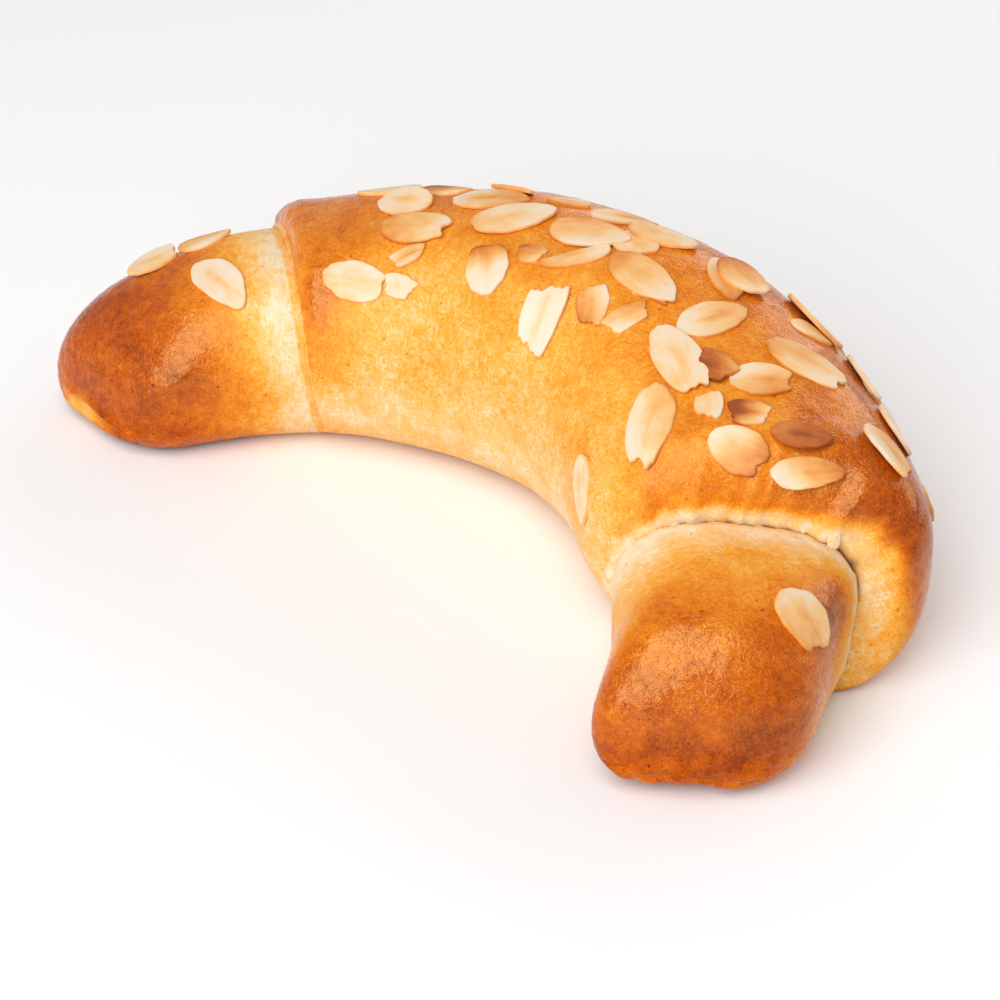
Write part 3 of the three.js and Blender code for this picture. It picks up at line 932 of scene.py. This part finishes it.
def lay_flake(bm, layers, flake, seed):
    """A flake, bent towards the crust below it, with numbers for its shades on the points."""
    along, angle, turn, length, share, shape, tilt, over, toast = flake
    along *= MM
    half_length = length * MM / 2
    centre = crust(along, angle)
    step_along = (crust(along + MM, angle) - crust(along - MM, angle)) / 2
    step_round = (crust(along, angle - 2) - crust(along, angle + 2)) / 4
    ahead = step_along.normalized()
    up = ahead.cross(step_round).normalized()
    side = up.cross(ahead)
    cos, sin = on_circle(turn)
    lean = math.sin(math.radians(tilt))
    bend = FLAKE_BEND if tilt == 0 else RAISED_BEND
    heading, uneven = BROWN_SIDES.get(seed, (360 * chance(seed + 3), EVEN_BROWN))
    browner = Vector((*on_circle(heading), 0))
    along_flake, across_flake = ahead * cos + side * sin, side * cos - ahead * sin
    last = len(PROFILE) - 1
    heart_long, heart_wide = HEART_REACH
    made = bmesh.ops.create_uvsphere(bm, u_segments=FLAKE_SEGMENTS, v_segments=last, radius=1)
    for vert in made["verts"]:
        x, y, z = vert.co
        radius, level = PROFILE[round(math.acos(clamp(z, -1, 1)) / math.pi * last)]
        a, b = [v * radius for v in outline(math.atan2(y, x), shape, seed)]
        long, wide = a * half_length, b * share * half_length
        onward, outward = long * cos - wide * sin, long * sin + wide * cos
        flat = centre + ahead * onward + side * outward
        laid = crust(along + onward / step_along.length * MM, angle - outward / step_round.length)
        lift = max(0, wide * lean + abs(lean) * share * half_length) + over * MM
        warp = FLAKE_WARP * radius ** 2 * math.sin(2 * math.atan2(y, x) + seed * WARP_TURN)
        thick = FLAKE_THICK * (1 - level) / 2
        vert.co = inside(flat.lerp(laid, bend) + up * (FLAKE_RISE + lift + warp - thick))
        heart = math.exp(-(a / heart_long) ** 2 - (b / heart_wide) ** 2)
        to_brown = a * browner.dot(along_flake) + b * browner.dot(across_flake)
        vert[layers["rim"]] = radius
        evenly = max(0, toast * (1 + uneven * to_brown))
        vert[layers["toast"]] = evenly + HEART * chance(seed + 1) * heart
        vert[layers["grain"]] = (long + seed * GRAIN_STEPS[0], wide, seed * GRAIN_STEPS[1])


# %% One mesh for each kind of flake
FLAKE_NAMES = {
    "whole": "whole_flakes", "half": "split_flakes",
    "broken": "broken_flakes", "piece": "flake_pieces"}


def make_flakes(kind):
    bm = bmesh.new()
    layers = {
        "rim": bm.verts.layers.float.new("rim"),
        "toast": bm.verts.layers.float.new("toast"),
        "grain": bm.verts.layers.float_vector.new("grain")}
    for seed, flake in enumerate(FLAKES):
        if flake[5] == kind:
            lay_flake(bm, layers, flake, seed)
    bmesh.ops.recalc_face_normals(bm, faces=bm.faces)
    return to_object(bm, FLAKE_NAMES[kind])


flake_pieces = [make_flakes(kind) for kind in FLAKE_NAMES]
for piece in flake_pieces:
    print(piece.name, len(piece.data.polygons), "faces")

# %% [markdown]
# ## Materials
# A material is a small network of nodes. The first two helpers add a node and fill in its inputs,
# or link those that are given as another node's output. The others name what is needed often, so
# that each material reads like a recipe.


# %% Helpers for nodes
def feed(node, inputs):
    """Gives each input a value or another node's output."""
    for name, value in inputs.items():
        if isinstance(value, bpy.types.NodeSocket):
            node.id_data.links.new(value, node.inputs[name])
        else:
            node.inputs[name].default_value = value


def add(tree, kind, inputs, output, **settings):
    """Adds a node and hands back one of its outputs."""
    made = tree.nodes.new("ShaderNode" + kind)
    for name, value in settings.items():
        setattr(made, name, value)
    feed(made, inputs)
    return made.outputs[output]


def attribute(tree, name, output="Fac"):
    return add(tree, "Attribute", {}, output, attribute_name=name)


def reckon(tree, operation, a, b, clamped=False):
    return add(tree, "Math", {0: a, 1: b}, 0, operation=operation, use_clamp=clamped)


def spread(tree, value, low, high, to_low=0.0, to_high=1.0):
    """A value from low to high, laid over another range and held at its ends."""
    inputs = {
        "Value": value, "From Min": low, "From Max": high, "To Min": to_low, "To Max": to_high}
    return add(tree, "MapRange", inputs, "Result")


def total(tree, first, *others):
    """The sum of all of them, held between 0 and 1."""
    for i, other in enumerate(others, 1):
        first = reckon(tree, "ADD", first, other, clamped=i == len(others))
    return first


def sway(tree, value, amount):
    """A noise, laid over the range from minus the amount to plus the amount."""
    return spread(tree, value, *NOISE_RANGE, -amount, amount)


def colours(tree, level, stops):
    """The colour for a level, from a row of (level, colour) stops."""
    colour = add(tree, "ValToRGB", {"Fac": level}, "Color")
    elements = colour.node.color_ramp.elements
    while len(elements) < len(stops):
        elements.new(1)
    for element, (at, shade) in zip(elements, stops):
        element.position = at
        element.color = (*shade, 1)
    return colour


def speckle(tree, where, size, detail=2.0, roughness=0.5):
    inputs = {"Vector": where, "Scale": 1 / size, "Detail": detail, "Roughness": roughness}
    return add(tree, "TexNoise", inputs, "Fac")


def ridges(tree, where, spacing):
    """Thin curled lines, 1 on the line: where a bent noise passes its middle value."""
    inputs = {"Vector": where, "Scale": 1 / spacing, "Detail": 1, "Distortion": RIDGE_BEND}
    wave = add(tree, "TexNoise", inputs, "Fac")
    away = reckon(tree, "ABSOLUTE", reckon(tree, "SUBTRACT", wave, 0.5), 0)
    return spread(tree, away, 0, RIDGE_WIDTH, 1, 0)


def dots(tree, where, apart, core, rim, amount):
    """Round specks: the amount within the core of each, nothing beyond its rim."""
    away = add(tree, "TexVoronoi", {"Vector": where, "Scale": 1 / apart}, "Distance")
    return spread(tree, away, core, rim, amount, 0)


def bumps(tree, height, depth, strength=0.6):
    """Fine relief. height is a share of the depth."""
    inputs = {"Strength": strength, "Distance": depth, "Height": height}
    return add(tree, "Bump", inputs, "Normal")


def new_material(name):
    made = bpy.data.materials.new(name)
    made.use_nodes = True
    tree = made.node_tree
    tree.nodes.clear()
    shader = tree.nodes.new("ShaderNodeBsdfPrincipled")
    feed(tree.nodes.new("ShaderNodeOutputMaterial"), {"Surface": shader.outputs["BSDF"]})
    return made, tree, shader


# Nearly all of a noise lies in this range
NOISE_RANGE = (0.3, 0.7)
RIDGE_BEND = 1.2
RIDGE_WIDTH = 0.08
print("node helpers ready")

# %% [markdown]
# ## The baked crust
# The browning number picks the colour from a row of colours, cream to dark brown. Clouds of several
# sizes shift it a little, so that no two places bake alike. Fine streaks follow the stretch of the
# dough, the curls of the wrinkled wash are painted lighter as painted glints, and pores and spots
# are darker. The deep crease is painted dark, a painted shade. The wash was brushed on from above:
# the crust shines there, and is duller at the base and where it is cream.

# %% Crust material
BAKED = [
    (0.0, (0.84, 0.7, 0.5)),
    (0.07, (0.83, 0.645, 0.42)),
    (0.17, (0.86, 0.525, 0.2)),
    (0.36, (0.87, 0.37, 0.04)),
    (0.55, (0.76, 0.215, 0.008)),
    (0.75, (0.52, 0.09, 0.002)),
    (0.9, (0.3, 0.038, 0.001)),
    (1.0, (0.14, 0.02, 0.002))]
# Dark brown painted shade for the deep crease
CREASE_SHADE_COLOUR = (0.22, 0.075, 0.03)
# Sizes of the patterns, and how far each shifts the browning
CLOUD_SIZE, CLOUDS = 9 * MM, 0.08
MOTTLE_SIZE, MOTTLE = 1.8 * MM, 0.06
GRAIN_SIZE, GRAIN = 0.45 * MM, 0.04
STREAK_SIZE, STREAK = 0.8 * MM, 0.045
STREAK_STRETCH = 0.22
# Quite pale at the first level of browning, no longer so at the second
PALE_LEVELS = (0.25, 0.7)

crust_material, tree, shader = new_material("baked crust")
where = add(tree, "TexCoord", {}, "Object")
bake = attribute(tree, "bake")
surface = add(tree, "UVMap", {}, "UV", uv_map="roll")
stretch = {"Vector": surface, "Scale": (1.0, STREAK_STRETCH, 1.0)}
stretched = add(tree, "Mapping", stretch, "Vector")

clouds = speckle(tree, where, CLOUD_SIZE, 3)
mottle = speckle(tree, where, MOTTLE_SIZE, 3, 0.6)
grain = speckle(tree, where, GRAIN_SIZE, 1)
streaks = speckle(tree, stretched, STREAK_SIZE)
pale = spread(tree, bake, *PALE_LEVELS, 1, 0)
print("crust patterns from", GRAIN_SIZE / MM, "to", round(CLOUD_SIZE / MM), "mm")

# %% Colour of the crust
CURL_SPACING = 1.6 * MM
CURL_LEVELS = (0.12, 0.3)
# How much lighter a curl is painted, as a painted glint, and the share of it on the brown crust
CURL_GLINT = 0.13
GLINT_ON_BROWN = 0.2
# Distance apart, core and rim as shares of it, how much browner
PORES = (1.7 * MM, 0.08, 0.2, 0.09)
SPOTS = (4.5 * MM, 0.04, 0.1, 0.22)
PORES_ON_PALE = 0.1

curls = ridges(tree, where, CURL_SPACING)
curls = reckon(tree, "MULTIPLY", curls, spread(tree, bake, *CURL_LEVELS))
# The curls are painted lighter: painted glints where the wrinkled wash catches the light
curl_glints = spread(tree, curls, 0, 1, -CURL_GLINT / 3, CURL_GLINT)
curl_glints = reckon(tree, "MULTIPLY", curl_glints, spread(tree, pale, 0, 1, GLINT_ON_BROWN, 1))
pores_here = spread(tree, pale, 0, 1, 1, PORES_ON_PALE)
level = total(
    tree, reckon(tree, "SUBTRACT", bake, curl_glints),
    sway(tree, clouds, CLOUDS), sway(tree, mottle, MOTTLE), sway(tree, grain, GRAIN),
    reckon(tree, "MULTIPLY", sway(tree, streaks, STREAK), pale),
    reckon(tree, "MULTIPLY", dots(tree, where, *PORES), pores_here),
    dots(tree, where, *SPOTS))
# The deep crease is mixed towards the dark brown: painted shade
# Inputs 6 and 7 are the two colours that are mixed, output 2 is the mixture
baked, crease_shade = colours(tree, level, BAKED), attribute(tree, "crease_shade")
mixed = {"Factor": crease_shade, 6: baked, 7: (*CREASE_SHADE_COLOUR, 1)}
feed(shader, {"Base Color": add(tree, "Mix", mixed, 2, data_type="RGBA")})
print("crust colours:", len(BAKED))

# %% Gloss and fine relief of the crust
# Of brown and of pale crust
ROUGHNESS = (0.12, 0.5)
ROUGHNESS_UNEVEN = 0.04
# The egg wash: where it begins and where it is full, and its shine there
WASH_HEIGHTS = (7 * MM, 20 * MM)
WASH_SHINE = (0.12, 0.82)
WASH_ON_PALE = 0.35
WASH_TINT = (1, 0.86, 0.4, 1)
FIBRES = 0.5
PIT_LEVELS = (0.62, 0.75)
PIT_DEPTH = 0.25
CRUST_RELIEF = 0.06 * MM

roughness = spread(tree, pale, 0, 1, *ROUGHNESS)
above_base = add(tree, "SeparateXYZ", {"Vector": where}, "Z")
brushed = spread(tree, above_base, *WASH_HEIGHTS, *WASH_SHINE)
on_pale = spread(tree, pale, 0, 1, 1, WASH_ON_PALE)
paleness = reckon(tree, "MULTIPLY", pale, FIBRES)
fibres = reckon(tree, "MULTIPLY", spread(tree, streaks, *NOISE_RANGE), paleness)
pits = spread(tree, grain, *PIT_LEVELS, 0, -PIT_DEPTH)
height = reckon(tree, "ADD", reckon(tree, "ADD", curls, fibres), pits)
feed(shader, {
    "Roughness": reckon(tree, "ADD", roughness, sway(tree, mottle, ROUGHNESS_UNEVEN)),
    "Specular IOR Level": reckon(tree, "MULTIPLY", brushed, on_pale),
    "Specular Tint": WASH_TINT,
    "Normal": bumps(tree, height, CRUST_RELIEF)})
roll.data.materials.append(crust_material)
print("curls", round(CURL_SPACING / MM, 2), "mm apart")

# %% [markdown]
# ## Crumb of the torn dough
# The shreds in the crease are the inside of the dough: cream, dull and soft, with a faint grain.

# %% Crumb material
CRUMB = [
    (0.3, (0.74, 0.5, 0.24)),
    (0.7, (0.86, 0.66, 0.4))]
CRUMB_SIZE = 0.8 * MM

crumb_material, tree, shader = new_material("dough crumb")
grain = speckle(tree, add(tree, "TexCoord", {}, "Object"), CRUMB_SIZE)
feed(shader, {
    "Base Color": colours(tree, grain, CRUMB),
    "Roughness": 0.7,
    "Normal": bumps(tree, grain, 0.1 * MM)})
shreds.data.materials.append(crumb_material)
print("crumb material on", shreds.name)

# %% [markdown]
# ## The almonds
# An almond slice is cream inside, with a toasted rim where it is thin and a faint brown heart.
# How toasted each flake is comes from its own number, and faint lines run along its length.

# %% Almond material
ALMOND = [
    (0.0, (0.81, 0.665, 0.5)),
    (0.15, (0.83, 0.61, 0.39)),
    (0.32, (0.84, 0.48, 0.18)),
    (0.55, (0.76, 0.3, 0.06)),
    (0.8, (0.52, 0.125, 0.012)),
    (1.0, (0.3, 0.055, 0.006))]
# Lines along the flake and broad shades: size, how far they shift the toasting
LINE_SIZE, LINES = 1.0 * MM, 0.05
SHADE_SIZE, SHADES = 4.5 * MM, 0.09
LINE_STRETCH = 0.25
RIM_FROM = 0.9
RIM_BROWNER = 0.12

almond_material, tree, shader = new_material("flaked almond")
toast = attribute(tree, "toast")
rim = attribute(tree, "rim")
along_grain = attribute(tree, "grain", "Vector")
stretch = {"Vector": along_grain, "Scale": (LINE_STRETCH, 1, 1)}
fine = speckle(tree, add(tree, "Mapping", stretch, "Vector"), LINE_SIZE)
broad = speckle(tree, along_grain, SHADE_SIZE)
level = total(
    tree, toast, sway(tree, broad, SHADES), spread(tree, rim, RIM_FROM, 1.0, 0, RIM_BROWNER),
    sway(tree, fine, LINES))
feed(shader, {
    "Base Color": colours(tree, level, ALMOND),
    "Roughness": 0.5,
    "Normal": bumps(tree, fine, 0.08 * MM, 0.5)})
for piece in flake_pieces:
    piece.data.materials.append(almond_material)
print("almond material on", len(flake_pieces), "pieces")

# %% [markdown]
# ## Floor and light
# The photo is a studio shot on white. A broad soft light in front, left of the camera, leaves soft
# shines on the horns, a low one behind lights the back, and white all round fills the shadows.
# The floor is plain and pale, a hair below the roll.

# %% Floor
FLOOR_SIZE = 3.0
FLOOR_DROP = 0.05 * MM
bm = bmesh.new()
bmesh.ops.create_grid(bm, x_segments=1, y_segments=1, size=FLOOR_SIZE)
bmesh.ops.translate(bm, verts=bm.verts, vec=(0, 0, -FLOOR_DROP))
floor = to_object(bm, "floor")
floor_material, tree, shader = new_material("pale floor")
feed(shader, {"Base Color": (0.9, 0.9, 0.9, 1), "Roughness": 0.6})
floor.data.materials.append(floor_material)
print("floor", 2 * FLOOR_SIZE, "m wide")


# %% Lights
SURROUND = 0.32


def softbox(name, turn, rise, away, wide, high, radiance):
    """A glowing panel that looks at the roll."""
    light = bpy.data.lights.new(name, "AREA")
    light.shape = "RECTANGLE"
    light.size = wide
    light.size_y = high
    light.energy = radiance * math.pi * wide * high
    return set_up(name, light, Vector(), turn, rise, away)


softbox("key", turn=10, rise=47, away=1.1, wide=1.0, high=1.65, radiance=3.18)
softbox("rim", turn=178, rise=22, away=1.3, wide=2.4, high=0.6, radiance=1.8)
world = bpy.data.worlds.new("white studio")
world.use_nodes = True
world.node_tree.nodes["Background"].inputs["Color"].default_value = (1, 1, 1, 1)
world.node_tree.nodes["Background"].inputs["Strength"].default_value = SURROUND
bpy.context.scene.world = world
bpy.context.scene.view_settings.view_transform = "Standard"
print("two soft lights and a white surround")

# %% [markdown]
# ## The pieces on one body
# Every piece rides on the one body. Together they stand for the solid croissant.

# %% Pieces on the body, the solid model hidden
for piece in (roll, shreds, *flake_pieces):
    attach(piece, "root")
    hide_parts("croissant")
